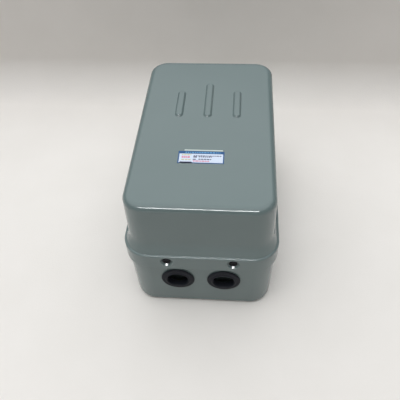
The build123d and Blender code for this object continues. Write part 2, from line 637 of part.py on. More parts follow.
spring_y, spring_radius, spring_wire, spring_turns = RETURN_SPRING
spring_form = coil_spring(Plane.XY, BOBBIN_TOP, arm_underside, spring_radius, spring_wire, spring_turns)
with BuildPart(contactor_frame) as return_springs:
    with Locations((0, -spring_y, 0), (0, spring_y, 0)):
        add(spring_form.part)
save(return_springs, "return_springs")

with BuildPart(contactor_frame) as contact_bridges:
    for x in POLES:
        block(around(x, BRIDGE_WIDTH / 2), around(0, BRIDGE_HALF_LENGTH), (bridge_bottom, bridge_top))
        post([(x, -TIP_Y), (x, TIP_Y)], TIP_RADIUS, (bridge_bottom - TIP_THICK, bridge_bottom))
save(contact_bridges, "contact_bridges")

contact_spring_form = coil_spring(Plane.XY, bridge_top, WINDOW_TOP, 3.3, 0.35, 5)
with BuildPart(contactor_frame) as contact_springs:
    with Locations(*[(x, 0, 0) for x in POLES]):
        add(contact_spring_form.part)
save(contact_springs, "contact_springs")

# ------------------------------------------------------------------ contactor: contact case and arc cover
terminal_points = [(x, TERMINAL_Y) for x in POLES] + [(x, -TERMINAL_Y) for x in POLES]
arc_screw_points = [(0, -ARC_SCREW_Y), (0, ARC_SCREW_Y)]
comb_slot = (COMB_HALF_WIDTH + SLIDE_CLEARANCE, WEB_HALF_DEPTH + 2 * SLIDE_CLEARANCE)
with BuildPart(contactor_frame) as contactor_body:
    block(around(0, HALF_WIDTH), around(0, CONTACTOR_HALF_LENGTH), (COIL_CASE_TOP, CONTACT_CASE_TOP))
    fillet(contactor_body.edges().filter_by(Axis.Z), 1.5)
    for x in POLES:
        channel = around(x, CHANNEL_WIDTH / 2)
        block(channel, around(0, CONTACTOR_HALF_LENGTH), (CONTACT_FLOOR, CONTACT_CASE_TOP), Mode.SUBTRACT)
    post(arc_screw_points, ARC_BOSS, (CONTACT_FLOOR, CONTACT_CASE_TOP))
    block(around(0, comb_slot[0]), around(0, comb_slot[1]), (CONTACT_FLOOR, CONTACT_CASE_TOP), Mode.SUBTRACT)
    web_slot = around(0, WEB_HALF_WIDTH + SLIDE_CLEARANCE)
    block(web_slot, around(0, comb_slot[1]), (COIL_CASE_TOP, CONTACT_FLOOR), Mode.SUBTRACT)
    arm_slot = around(0, arm_half + 2 * SLIDE_CLEARANCE)
    block(arm_slot, around(0, arm_reach + 1.0), (COIL_CASE_TOP, arm_top + 1.0), Mode.SUBTRACT)
    post(arc_screw_points, M3 + HOLE_CLEARANCE, (CONTACT_FLOOR + 3.0, CONTACT_CASE_TOP), Mode.SUBTRACT)
    post(terminal_points, M35 + HOLE_CLEARANCE, (COIL_CASE_TOP + 1.0, CONTACT_FLOOR), Mode.SUBTRACT)
    post(both_sides(*CASE_SCREWS), M3 + HOLE_CLEARANCE, (COIL_CASE_TOP, CONTACT_FLOOR - 0.5), Mode.SUBTRACT)
save(contactor_body, "contactor_body")

for side, name in ((1, "line"), (-1, "load")):
    ends = sorted((side * 11.0, side * (CONTACTOR_HALF_LENGTH - 1.0)))
    with BuildPart(contactor_frame) as fixed_contacts:
        for x in POLES:
            block(around(x, STRIP_WIDTH / 2), ends, (CONTACT_FLOOR, strip_top))
        post([(x, side * TIP_Y) for x in POLES], TIP_RADIUS, (strip_top, fixed_tip_top))
        screw_points = [(x, side * TERMINAL_Y) for x in POLES]
        post(screw_points, M35 + HOLE_CLEARANCE, (CONTACT_FLOOR, strip_top), Mode.SUBTRACT)
    save(fixed_contacts, f"{name}_contacts")

    with BuildPart(contactor_frame) as terminal_screws:
        with Locations(*[(x, y, 0) for x, y in screw_points]):
            add(terminal_screw(M35, strip_top, COIL_CASE_TOP + 2.0, 8.0))
    save(terminal_screws, f"{name}_terminal_screws")

with BuildPart(contactor_frame) as arc_cover:
    block(around(0, HALF_WIDTH), around(0, ARC_COVER_HALF_LENGTH), (CONTACT_CASE_TOP, ARC_COVER_TOP))
    fillet(arc_cover.edges().filter_by(Axis.Z), 1.5)
    fillet(arc_cover.faces().sort_by(Axis.Z)[-1].edges(), 1.0)
    arc_roof = COMB_TOP + 2 * SLIDE_CLEARANCE
    for x in POLES:
        pocket = around(x, CHANNEL_WIDTH / 2)
        block(pocket, around(0, ARC_COVER_HALF_LENGTH - 3.0), (CONTACT_CASE_TOP, arc_roof), Mode.SUBTRACT)
    post(arc_screw_points, ARC_BOSS, (CONTACT_CASE_TOP, arc_roof))
    block(around(0, comb_slot[0]), around(0, comb_slot[1]), (CONTACT_CASE_TOP, arc_roof), Mode.SUBTRACT)
    stem_slot = (STEM[0] + SLIDE_CLEARANCE, STEM[1] + SLIDE_CLEARANCE)
    block(around(0, stem_slot[0]), around(0, stem_slot[1]), (arc_roof, ARC_COVER_TOP), Mode.SUBTRACT)
    post(arc_screw_points, M3 + HOLE_CLEARANCE, (CONTACT_CASE_TOP, ARC_COVER_TOP), Mode.SUBTRACT)
    post(arc_screw_points, CASE_SCREW_HEAD + 0.3, (ARC_SCREW_SEAT, ARC_COVER_TOP), Mode.SUBTRACT)
save(arc_cover, "arc_cover")

with BuildPart(contactor_frame) as arc_cover_screws:
    with Locations(*[(x, y, ARC_SCREW_SEAT) for x, y in arc_screw_points]):
        add(pan_screw(M3, ARC_SCREW_SEAT - CONTACT_FLOOR - 5.0, CASE_SCREW_HEAD, 1.9))
save(arc_cover_screws, "arc_cover_screws")

with BuildPart(contactor_frame) as case_screws:
    for x, y in both_sides(*CASE_SCREWS):
        with Locations(Plane((x, y, CASE_SCREW_SEAT), x_dir=(1, 0, 0), z_dir=(0, 0, -1))):
            add(pan_screw(M3, CONTACT_FLOOR - 1.0 - CASE_SCREW_SEAT, CASE_SCREW_HEAD, 1.9))
save(case_screws, "case_screws")

with BuildPart(contactor_frame) as contactor_screws:
    with Locations(*[(x, y, FOOT_HEIGHT) for x, y in contactor_feet]):
        add(pan_screw(M4, FOOT_HEIGHT + 5.0, 1.9 * M4, 1.3 * M4))
save(contactor_screws, "contactor_screws")

# ------------------------------------------------------------------ overload relay: housing and lid
phase_points = [(x, RELAY_TERMINAL_Y) for x in MAIN_POLES]
signal_points = [(x, RELAY_TERMINAL_Y) for x in SIGNAL_TERMINALS_X]
relay_points = phase_points + signal_points
left, heater_end, mechanism_start, right = RELAY_WALLS
wall_y = RELAY_HALF_LENGTH - RELAY_WALL
bar_slot_y = (TRIP_BAR_Y[0] - SLIDE_CLEARANCE, TRIP_BAR_Y[1] + SLIDE_CLEARANCE)
bar_slot_z = (TRIP_BAR_Z[0] - SLIDE_CLEARANCE, TRIP_BAR_Z[1] + SLIDE_CLEARANCE)
lever_x, lever_z = LEVER_PIVOT
lever_axis = Plane((lever_x, RELAY_Y + LEVER_Y[0], chassis_top + lever_z), x_dir=(1, 0, 0), z_dir=(0, 1, 0))
bracket_y = (
    (LEVER_Y[0] - SLIDE_CLEARANCE - LEVER_BRACKET, LEVER_Y[0] - SLIDE_CLEARANCE),
    (LEVER_Y[1] + SLIDE_CLEARANCE, LEVER_Y[1] + SLIDE_CLEARANCE + LEVER_BRACKET),
)

with BuildPart(relay_frame) as relay_housing:
    block(around(0, HALF_WIDTH), around(0, RELAY_HALF_LENGTH), (0, RELAY_TOP))
    fillet(relay_housing.edges().filter_by(Axis.Z), 1.5)
    block(around(0, LEDGE_HALF), around(0, LEDGE_END), (LEDGE_TOP - 9.0, LEDGE_TOP))
    block(around(0, FOOT_END), around(0, FOOT_HALF), (0, FOOT_HEIGHT))
    post(relay_feet, M4 + HOLE_CLEARANCE, (0, FOOT_HEIGHT), Mode.SUBTRACT)
    for chamber in ((left, heater_end), (mechanism_start, right)):
        block(chamber, around(0, wall_y), (RELAY_FLOOR, RELAY_TOP), Mode.SUBTRACT)
    for x in (-POLE_PITCH, 0.0):
        block(around(x, PARTITION / 2), around(0, wall_y), (RELAY_FLOOR, TRIP_BAR_Z[0] - 1.0))
    block((heater_end, mechanism_start), bar_slot_y, bar_slot_z, Mode.SUBTRACT)
    post([RESET_POINT], RESET_SEAT_RADIUS, (RELAY_FLOOR, RESET_SEAT))
    for y in bracket_y:
        block(around(lever_x, LEVER_BOSS), y, (RELAY_FLOOR, lever_z + LEVER_BOSS))
    with BuildSketch(lever_axis):
        Circle(PIN_RADIUS + PIN_CLEARANCE)
    extrude(amount=LEVER_BOSS + 5.0, both=True, mode=Mode.SUBTRACT)
    for x, y in relay_points:
        half = (STRIP_WIDTH if x in MAIN_POLES else SIGNAL_WIDTH) / 2 + 0.1
        slot = (LEDGE_TOP, relay_strip_top + 0.2)
        block(around(x, half), around(0, RELAY_HALF_LENGTH), slot, Mode.SUBTRACT)
        post([(x, y), (x, -y)], M35 + HOLE_CLEARANCE, (LEDGE_TOP - 8.0, LEDGE_TOP), Mode.SUBTRACT)
save(relay_housing, "relay_housing")

lid_top = RELAY_TOP + RELAY_LID_THICK
with BuildPart(relay_frame) as relay_lid:
    block(around(0, HALF_WIDTH), around(0, RELAY_HALF_LENGTH), (RELAY_TOP, lid_top))
    fillet(relay_lid.edges().filter_by(Axis.Z), 1.5)
    fillet(relay_lid.faces().sort_by(Axis.Z)[-1].edges(), 0.8)
    for chamber in ((left, heater_end), (mechanism_start, right)):
        inner = (chamber[0] + LID_FIT, chamber[1] - LID_FIT)
        block(inner, around(0, wall_y - LID_FIT), (RELAY_TOP - LID_LIP, RELAY_TOP))
        block(
            (inner[0] + 1.5, inner[1] - 1.5),
            around(0, wall_y - LID_FIT - 1.5),
            (RELAY_TOP - LID_LIP, RELAY_TOP),
            Mode.SUBTRACT,
        )
    post([RESET_POINT], RESET_RADIUS + RESET_GAP, (RELAY_TOP, lid_top), Mode.SUBTRACT)
    post([DIAL_POINT], DIAL_SHAFT + PIN_CLEARANCE, (RELAY_TOP, lid_top), Mode.SUBTRACT)
save(relay_lid, "relay_lid")

with BuildPart(relay_frame) as relay_screws:
    with Locations(*[(x, y, FOOT_HEIGHT) for x, y in relay_feet]):
        add(pan_screw(M4, FOOT_HEIGHT + 5.0, 1.9 * M4, 1.3 * M4))
save(relay_screws, "relay_screws")

# ------------------------------------------------------------------ overload relay: heaters and current paths
bimetal_thick, bimetal_width, bimetal_length = BIMETAL
with BuildPart(relay_frame) as bimetal_strips:
    for x in MAIN_POLES:
        block(
            around(x, bimetal_thick / 2),
            around(0, bimetal_width / 2),
            (BIMETAL_FOOT, BIMETAL_FOOT + bimetal_length),
        )
save(bimetal_strips, "bimetal_strips")

heater_top = HEATER_BOTTOM + HEATER_TURNS * HEATER_PITCH
heater_form = coil_spring(Plane.XY, HEATER_BOTTOM, heater_top, HEATER_RADIUS, HEATER_WIRE, HEATER_TURNS)
with BuildPart(relay_frame) as heater_windings:
    with Locations(*[(x, 0, 0) for x in MAIN_POLES]):
        add(heater_form.part)
save(heater_windings, "heater_windings")

with BuildPart(relay_frame) as relay_line_strips:
    for x, y in phase_points:
        block(around(x, STRIP_WIDTH / 2), (DROP_Y, LEDGE_END - 1.0), (LEDGE_TOP, relay_strip_top))
        block(around(x, 3.0), (DROP_Y, DROP_Y + STRIP_THICK), (heater_top - 4.0, LEDGE_TOP))
    post(phase_points, M35 + HOLE_CLEARANCE, (LEDGE_TOP, relay_strip_top), Mode.SUBTRACT)
save(relay_line_strips, "relay_line_strips")

with BuildPart(relay_frame) as relay_load_strips:
    for x, y in phase_points:
        strip = around(x, STRIP_WIDTH / 2)
        block(strip, (1.0 - LEDGE_END, -DROP_Y), (LEDGE_TOP, relay_strip_top))
        block(strip, (-DROP_Y - STRIP_THICK, -DROP_Y), (BIMETAL_FOOT - STRIP_THICK, LEDGE_TOP))
        block(strip, (-DROP_Y - STRIP_THICK, bimetal_width / 2), (BIMETAL_FOOT - STRIP_THICK, BIMETAL_FOOT))
    load_points = [(x, -y) for x, y in phase_points]
    post(load_points, M35 + HOLE_CLEARANCE, (LEDGE_TOP, relay_strip_top), Mode.SUBTRACT)
save(relay_load_strips, "relay_load_strips")

with BuildPart(relay_frame) as signal_strips:
    for x, y in signal_points:
        for side in (-1, 1):
            ends = sorted((side * SIGNAL_INNER_END, side * (LEDGE_END - 1.0)))
            block(around(x, SIGNAL_WIDTH / 2), ends, (LEDGE_TOP, relay_strip_top))
        post([(x, y), (x, -y)], M35 + HOLE_CLEARANCE, (LEDGE_TOP, relay_strip_top), Mode.SUBTRACT)
save(signal_strips, "signal_strips")

for side, name in ((1, "line"), (-1, "load")):
    with BuildPart(relay_frame) as relay_terminal_screws:
        with Locations(*[(x, side * y, 0) for x, y in relay_points]):
            add(terminal_screw(M35, relay_strip_top, LEDGE_TOP - 7.0, 7.0))
    save(relay_terminal_screws, f"relay_{name}_screws")

# ------------------------------------------------------------------ overload relay: trip gear and controls
with BuildPart(relay_frame) as trip_bar:
    block((MAIN_POLES[0] - 5.0, lever_x - LEVER_HALF - BAR_TO_LEVER), TRIP_BAR_Y, TRIP_BAR_Z)
    for x in MAIN_POLES:
        finger = x + bimetal_thick / 2 + FINGER_GAP
        block((finger, finger + 2.0), (-bimetal_width / 2 + 1.0, TRIP_BAR_Y[0]), TRIP_BAR_Z)
save(trip_bar, "trip_bar")

with BuildPart(relay_frame) as trip_lever:
    block(around(lever_x, LEVER_HALF), LEVER_Y, (lever_z, LEVER_TOP))
    with BuildSketch(lever_axis):
        Circle(LEVER_BOSS)
    extrude(amount=LEVER_Y[1] - LEVER_Y[0])
    with BuildSketch(lever_axis):
        Circle(PIN_RADIUS + PIN_CLEARANCE)
    extrude(amount=LEVER_Y[1] - LEVER_Y[0], mode=Mode.SUBTRACT)
save(trip_lever, "trip_lever")

with BuildPart() as lever_pin:
    pin_start = lever_axis.offset(-SLIDE_CLEARANCE - LEVER_BRACKET)
    with BuildSketch(pin_start):
        Circle(PIN_RADIUS)
    extrude(amount=LEVER_Y[1] - LEVER_Y[0] + 2 * (SLIDE_CLEARANCE + LEVER_BRACKET))
save(lever_pin, "lever_pin")

reset_collar = (RELAY_TOP - 3.0, RELAY_TOP - SLIDE_CLEARANCE)
with BuildPart(relay_frame) as reset_button:
    post([RESET_POINT], RESET_RADIUS, (reset_collar[0], RESET_TOP))
    fillet(reset_button.edges().group_by(Axis.Z)[-1], 0.8)
    post([RESET_POINT], RESET_COLLAR, reset_collar)
    post([RESET_POINT], RESET_STEM, (RESET_SEAT + RESET_TRAVEL + 1.0, reset_collar[0]))
save(reset_button, "reset_button")

reset_spring_form = coil_spring(Plane.XY, RESET_SEAT, reset_collar[0], 3.2, 0.4, 6)
with BuildPart(relay_frame) as reset_spring:
    with Locations((*RESET_POINT, 0)):
        add(reset_spring_form.part)
save(reset_spring, "reset_spring")

dial_top = lid_top + DIAL_GAP + DIAL_THICK
with BuildPart(relay_frame) as setting_dial:
    post([DIAL_POINT], DIAL_RADIUS, (lid_top + DIAL_GAP, dial_top))
    fillet(setting_dial.edges().group_by(Axis.Z)[-1], 0.6)
    post([DIAL_POINT], DIAL_SHAFT, (RELAY_TOP - 8.0, lid_top + DIAL_GAP))
    post([DIAL_POINT], DIAL_SHAFT + 1.2, (RELAY_TOP - 2.5, RELAY_TOP - DIAL_GAP))
    block(around(DIAL_POINT[0], 0.7), around(DIAL_POINT[1], 4.6), (dial_top - 1.2, dial_top), Mode.SUBTRACT)
save(setting_dial, "setting_dial")

# ------------------------------------------------------------------ links and control wires
upper_strip = chassis_top + strip_top
lower_strip = chassis_top + relay_strip_top
upper_screw_y = CONTACTOR_Y - TERMINAL_Y
lower_screw_y = RELAY_Y + RELAY_TERMINAL_Y
link_y = CONTACTOR_Y - CONTACTOR_HALF_LENGTH - LINK_STANDOFF
with BuildPart() as phase_links:
    for x in MAIN_POLES:
        link = around(x, LINK_WIDTH / 2)
        block(link, (link_y - LINK_THICK, upper_screw_y + 4.0), (upper_strip, upper_strip + LINK_THICK))
        block(link, (link_y - LINK_THICK, link_y), (lower_strip, upper_strip + LINK_THICK))
        block(link, (lower_screw_y - 4.0, link_y), (lower_strip, lower_strip + LINK_THICK))
        post([(x, upper_screw_y)], M35 + HOLE_CLEARANCE, (upper_strip, upper_strip + LINK_THICK), Mode.SUBTRACT)
        post([(x, lower_screw_y)], M35 + HOLE_CLEARANCE, (lower_strip, lower_strip + LINK_THICK), Mode.SUBTRACT)
save(phase_links, "phase_links")

ferrule_lift = CONDUCTOR_GAP / 2
coil_y = CONTACTOR_Y + COIL_TERMINAL[1]
coil_wire_z = chassis_top + tag_top + ferrule_lift
aux_x = POLES[3] + FERRULE_SIDE
coil_x = COIL_TERMINAL[0] + FERRULE_SIDE
signal_x = SIGNAL_TERMINALS_X[0] + FERRULE_SIDE
aux_start = CONTACTOR_Y - CONTACTOR_HALF_LENGTH + 0.7
coil_start = CONTACTOR_Y + COIL_LEDGE_END - 0.7
signal_start = RELAY_Y - LEDGE_END - 0.3
routes = (
    (
        (aux_x, aux_start, upper_strip + ferrule_lift),
        (aux_x, aux_start - 8.0, upper_strip + ferrule_lift),
        (WIRE_LANE, aux_start - 9.0, upper_strip - 6.0),
        (WIRE_LANE, coil_start + 7.5, coil_wire_z + 3.0),
        (coil_x, coil_start + 8.0, coil_wire_z),
        (coil_x, coil_start, coil_wire_z),
    ),
    (
        (-coil_x, coil_start, coil_wire_z),
        (-coil_x, coil_start + 8.0, coil_wire_z),
        (-WIRE_LANE, coil_start + 7.5, coil_wire_z + 3.0),
        (-WIRE_LANE, signal_start - 11.0, lower_strip + 3.0),
        (signal_x, signal_start - 10.0, lower_strip + ferrule_lift),
        (signal_x, signal_start, lower_strip + ferrule_lift),
    ),
)
with BuildPart() as control_wires:
    for route in routes:
        with BuildLine() as path:
            FilletPolyline(*route, radius=4.0)
        with BuildSketch(Plane(origin=path.line @ 0, z_dir=path.line % 0)):
            Circle(WIRE_RADIUS)
        sweep(path=path.line)
save(control_wires, "control_wires")

ferrule_ends = (
    (aux_x, upper_strip + ferrule_lift, aux_start, upper_screw_y + 3.0),
    (coil_x, coil_wire_z, coil_y - 3.0, coil_start),
    (-coil_x, coil_wire_z, coil_y - 3.0, coil_start),
    (signal_x, lower_strip + ferrule_lift, signal_start, RELAY_Y - RELAY_TERMINAL_Y + 3.0),
)
with BuildPart() as wire_ferrules:
    for x, z, start, end in ferrule_ends:
        with Locations(Plane((x, start, z), x_dir=(1, 0, 0), z_dir=(0, 1, 0))):
            Cylinder(FERRULE_RADIUS, end - start, align=from_mouth)
save(wire_ferrules, "wire_ferrules")
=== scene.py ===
# %% [markdown]
# # A magnetic motor starter in its drawn steel box
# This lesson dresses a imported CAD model: a contactor and an overload relay on a plate, inside a pressed
# box with a deep cover. The CAD gives every piece its true size and place. What is left for Blender is
# how the pieces look: stoved enamel, rubber, zinc plate, phenolic mouldings, copper, and the print on
# the nameplate. Everything is in metres, in the CAD's own frame, so nothing has to be fitted by eye.

# %% Load the frame
import json
import math
import random

import bmesh
import bpy
from mathutils import Matrix, Vector


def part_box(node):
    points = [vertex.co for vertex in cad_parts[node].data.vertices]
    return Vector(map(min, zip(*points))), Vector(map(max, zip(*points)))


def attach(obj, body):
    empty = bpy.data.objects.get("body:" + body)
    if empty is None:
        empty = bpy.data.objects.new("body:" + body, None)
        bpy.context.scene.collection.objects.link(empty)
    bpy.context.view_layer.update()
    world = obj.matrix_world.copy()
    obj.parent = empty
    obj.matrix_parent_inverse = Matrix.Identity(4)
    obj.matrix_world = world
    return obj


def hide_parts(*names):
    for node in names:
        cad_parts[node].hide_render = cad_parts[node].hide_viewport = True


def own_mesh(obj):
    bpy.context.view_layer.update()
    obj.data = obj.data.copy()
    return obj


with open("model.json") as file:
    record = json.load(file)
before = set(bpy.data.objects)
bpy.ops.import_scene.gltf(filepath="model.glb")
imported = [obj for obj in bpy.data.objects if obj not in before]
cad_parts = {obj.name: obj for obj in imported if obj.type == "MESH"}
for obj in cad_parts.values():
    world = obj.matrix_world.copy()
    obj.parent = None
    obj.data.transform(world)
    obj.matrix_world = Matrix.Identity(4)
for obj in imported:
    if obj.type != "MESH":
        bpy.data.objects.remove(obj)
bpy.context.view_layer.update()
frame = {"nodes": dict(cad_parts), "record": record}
MM = 0.001

# %% [markdown]
# ## The camera
# The box is seen from its lower end and a little from the right, from about half a metre away and
# looking down at 49 degrees, with a slightly long lens. A camera could be aimed with a Track To
# constraint, but then its small roll would be lost, so its three axes are worked out from the yaw,
# pitch and roll and written straight into its matrix.

# %% Place the camera
CAMERA_PLACE = Vector((27.13, -323.73, 399.18)) * MM
SENSOR, LENS = 36.0, 43.62
YAW, PITCH, ROLL = (math.radians(a) for a in (-6.24, 48.72, -2.86))

forward = Vector((math.sin(YAW) * math.cos(PITCH), math.cos(YAW) * math.cos(PITCH), -math.sin(PITCH)))
level = Vector((math.cos(YAW), -math.sin(YAW), 0.0))
upward = level.cross(forward)
camera_x = level * math.cos(ROLL) + upward * math.sin(ROLL)
camera_y = upward * math.cos(ROLL) - level * math.sin(ROLL)

camera_data = bpy.data.cameras.new("studio_camera")
camera_data.sensor_width = SENSOR
camera_data.lens = LENS
camera = bpy.data.objects.new("studio_camera", camera_data)
bpy.context.scene.collection.objects.link(camera)
turn = Matrix((camera_x, camera_y, -forward)).transposed()
camera.matrix_world = Matrix.Translation(CAMERA_PLACE) @ turn.to_4x4()
bpy.context.scene.camera = camera
print("camera looks along", tuple(round(a, 3) for a in forward))

# %% [markdown]
# ## Small tools for materials
# A node material is a tree of nodes, and writing it by hand is mostly adding a node, setting it and
# wiring it. One function does those three things for any node, so each material below reads as a list
# of what it is made of. Colours are given as the sRGB hex values that a paint chart or a screen would
# show, and turned to the linear values that the renderer works in. Pattern sizes are given in
# millimetres: a texture's Scale is how many repeats fit in a metre. The Mix node keeps a hidden set of
# sockets for each data type, so its colours are inputs 6 and 7 and output 2.

# %% Colour, scale and node helpers
MIX_A, MIX_B, MIX_RESULT = 6, 7, 2


def linear(hex_colour):
    """An sRGB hex colour as linear RGBA."""
    channels = [int(hex_colour[i : i + 2], 16) / 255 for i in (1, 3, 5)]
    return (*[c / 12.92 if c <= 0.04045 else ((c + 0.055) / 1.055) ** 2.4 for c in channels], 1.0)


def per(millimetres):
    """The texture scale for a pattern of this size."""
    return 1.0 / (millimetres * MM)


def add_node(tree, kind, inputs=None, **settings):
    """Adds a node, sets its properties, and fills or links its inputs."""
    node = tree.nodes.new(kind)
    for name, value in settings.items():
        setattr(node, name, value)
    for socket, value in (inputs or {}).items():
        if isinstance(value, bpy.types.NodeSocket):
            tree.links.new(value, node.inputs[socket])
        else:
            node.inputs[socket].default_value = value
    return node


def start_material(name, colour, roughness, metallic=0.0):
    """A material with its Principled shader set, and the object coordinates that patterns read."""
    material = bpy.data.materials.new(name)
    material.use_nodes = True
    tree = material.node_tree
    shader = tree.nodes["Principled BSDF"]
    shader.inputs["Base Color"].default_value = linear(colour)
    shader.inputs["Roughness"].default_value = roughness
    shader.inputs["Metallic"].default_value = metallic
    place = add_node(tree, "ShaderNodeTexCoord").outputs["Object"]
    return material, tree, shader, place


print("middle grey is", round(linear("#808080")[0], 3), "in linear light")

# %% [markdown]
# ## Stoved enamel on pressed steel
# The box is deep-drawn sheet, sprayed grey-green and baked. Baked enamel levels out to a satin gloss,
# so edges catch a thin bright line, but the spray leaves a faint orange peel a couple of millimetres
# across, and the drawing leaves the flat faces very slightly wavy, which shows only as soft blotches in
# reflections. Two bump layers give those at their two real sizes. A clear coat would be wrong here,
# since the gloss is in the paint itself. The colour hardly varies: a new box is one even shade, so the
# mixed pair of colours differ by only a few steps, in patches as wide as a pass of the spray gun.

# %% Enamel
PEEL_SIZE, WAVE_SIZE, PATCH_SIZE = 2.2, 46.0, 30.0  # millimetres
PEEL_DEPTH, WAVE_DEPTH = 0.02, 0.35
enamel, tree, shader, place = start_material("stoved_enamel", "#6E7D7D", 0.14)
orange_peel = add_node(
    tree,
    "ShaderNodeTexNoise",
    {"Vector": place, "Scale": per(PEEL_SIZE), "Detail": 1.0},
)
waviness = add_node(
    tree,
    "ShaderNodeTexNoise",
    {"Vector": place, "Scale": per(WAVE_SIZE), "Detail": 1.0},
)
thickness = add_node(
    tree,
    "ShaderNodeTexNoise",
    {"Vector": place, "Scale": per(PATCH_SIZE), "Detail": 3.0},
)
peel_bump = add_node(
    tree,
    "ShaderNodeBump",
    {"Height": orange_peel.outputs["Fac"], "Strength": 0.3, "Distance": PEEL_DEPTH * MM},
)
wave_bump = add_node(
    tree,
    "ShaderNodeBump",
    {
        "Height": waviness.outputs["Fac"],
        "Strength": 0.5,
        "Distance": WAVE_DEPTH * MM,
        "Normal": peel_bump.outputs["Normal"],
    },
)
shade = add_node(
    tree,
    "ShaderNodeMix",
    {"Factor": thickness.outputs["Fac"], MIX_A: linear("#6C7B7B"), MIX_B: linear("#707F7F")},
    data_type="RGBA",
)
gloss = add_node(
    tree,
    "ShaderNodeMapRange",
    {"Value": thickness.outputs["Fac"], "To Min": 0.11, "To Max": 0.17},
)
tree.links.new(wave_bump.outputs["Normal"], shader.inputs["Normal"])
tree.links.new(shade.outputs[MIX_RESULT], shader.inputs["Base Color"])
tree.links.new(gloss.outputs["Result"], shader.inputs["Roughness"])
print("enamel has", len(tree.nodes), "nodes")

# %% [markdown]
# ## Moulded plastics
# The contactor and the relay are cased in thermoset: phenolic powder pressed in a hot steel tool. It
# comes out matt, with a faint granular look from its filler and a slightly cloudy gloss where it flowed.
# The thermoplastic pieces are smoother. They all differ only in colour, grain and gloss, so one function
# makes the family and a table names its members.

# %% Thermoset and thermoplastic mouldings
FLOW_SIZE, CLOUDINESS = 14.0, 0.08


def moulded(name, dark, light, roughness, grain, depth, shine=0.5):
    """A moulded plastic between two close colours, with a surface grain and depth in millimetres."""
    material, tree, shader, place = start_material(name, dark, roughness)
    filler = add_node(
        tree,
        "ShaderNodeTexNoise",
        {"Vector": place, "Scale": per(grain), "Detail": 4.0},
    )
    flow = add_node(
        tree,
        "ShaderNodeTexNoise",
        {"Vector": place, "Scale": per(FLOW_SIZE), "Detail": 2.0},
    )
    tone = add_node(
        tree,
        "ShaderNodeMix",
        {"Factor": filler.outputs["Fac"], MIX_A: linear(dark), MIX_B: linear(light)},
        data_type="RGBA",
    )
    cloudy = add_node(
        tree,
        "ShaderNodeMapRange",
        {
            "Value": flow.outputs["Fac"],
            "To Min": roughness - CLOUDINESS,
            "To Max": roughness + CLOUDINESS,
        },
    )
    bump = add_node(
        tree,
        "ShaderNodeBump",
        {"Height": filler.outputs["Fac"], "Strength": 0.5, "Distance": depth * MM},
    )
    tree.links.new(tone.outputs[MIX_RESULT], shader.inputs["Base Color"])
    tree.links.new(cloudy.outputs["Result"], shader.inputs["Roughness"])
    tree.links.new(bump.outputs["Normal"], shader.inputs["Normal"])
    shader.inputs["Specular IOR Level"].default_value = shine
    return material


finishes = {
    "enclosure_paint": enamel,
    "moulding_black": moulded("black_phenolic", "#1A1A1C", "#2B2A2A", 0.5, 0.7, 0.05),
    "moulding_grey": moulded("grey_melamine", "#6D6F70", "#7E8080", 0.45, 0.8, 0.04),
    "moulding_brown": moulded("brown_phenolic", "#42271A", "#5B3825", 0.48, 0.6, 0.05),
    "moulding_cream": moulded("cream_nylon", "#DDD3B8", "#E7DFC8", 0.38, 1.4, 0.02),
    "button_blue": moulded("blue_abs", "#12388C", "#17429B", 0.22, 2.0, 0.01),
    "dial_white": moulded("white_acetal", "#DEDDD6", "#E8E7E1", 0.28, 2.0, 0.01),
    "wire_yellow": moulded("yellow_pvc_sleeving", "#D0A21A", "#DDB12B", 0.35, 2.5, 0.02),
    "grommet_rubber": moulded("black_nitrile_rubber", "#11141C", "#191D26", 0.6, 0.5, 0.02, 0.2),
    "cushion_rubber": moulded("sponge_rubber", "#1C1B1B", "#2A2928", 0.75, 0.4, 0.1),
}
print("enamel and mouldings", len(finishes))

# %% [markdown]
# ## Plated and bare metals
# Screws, standoffs and the plate are zinc plated and passivated: bright, a little blue, with clouds in
# the gloss where the bath drained. Terminals are tumbled brass, links are rolled copper that has started
# to tarnish, and springs are drawn wire. What tells them apart is the colour of the metal, how uneven the
# tarnish is and how long the scratches are. Scratches come from noise that is stretched along one axis.

# %% Metals
def bare_metal(name, bright, tarnished, roughness, scratch, stretch, cloud):
    """A metal between bright and tarnished; scratches along X and clouds have sizes in millimetres."""
    material, tree, shader, place = start_material(name, bright, roughness, 1.0)
    drawn = add_node(
        tree,
        "ShaderNodeMapping",
        {"Vector": place, "Scale": (per(scratch * stretch), per(scratch), per(scratch))},
    )
    scratches = add_node(
        tree,
        "ShaderNodeTexNoise",
        {"Vector": drawn.outputs["Vector"], "Scale": 1.0, "Detail": 3.0},
    )
    clouds = add_node(
        tree,
        "ShaderNodeTexNoise",
        {"Vector": place, "Scale": per(cloud), "Detail": 4.0},
    )
    patch = add_node(
        tree,
        "ShaderNodeMapRange",
        {"Value": clouds.outputs["Fac"], "From Min": 0.35, "From Max": 0.7},
    )
    tone = add_node(
        tree,
        "ShaderNodeMix",
        {"Factor": patch.outputs["Result"], MIX_A: linear(bright), MIX_B: linear(tarnished)},
        data_type="RGBA",
    )
    dull = add_node(
        tree,
        "ShaderNodeMapRange",
        {"Value": clouds.outputs["Fac"], "To Min": roughness - 0.1, "To Max": roughness + 0.15},
    )
    bump = add_node(
        tree,
        "ShaderNodeBump",
        {"Height": scratches.outputs["Fac"], "Strength": 0.4, "Distance": 0.01 * MM},
    )
    tree.links.new(tone.outputs[MIX_RESULT], shader.inputs["Base Color"])
    tree.links.new(dull.outputs["Result"], shader.inputs["Roughness"])
    tree.links.new(bump.outputs["Normal"], shader.inputs["Normal"])
    return material


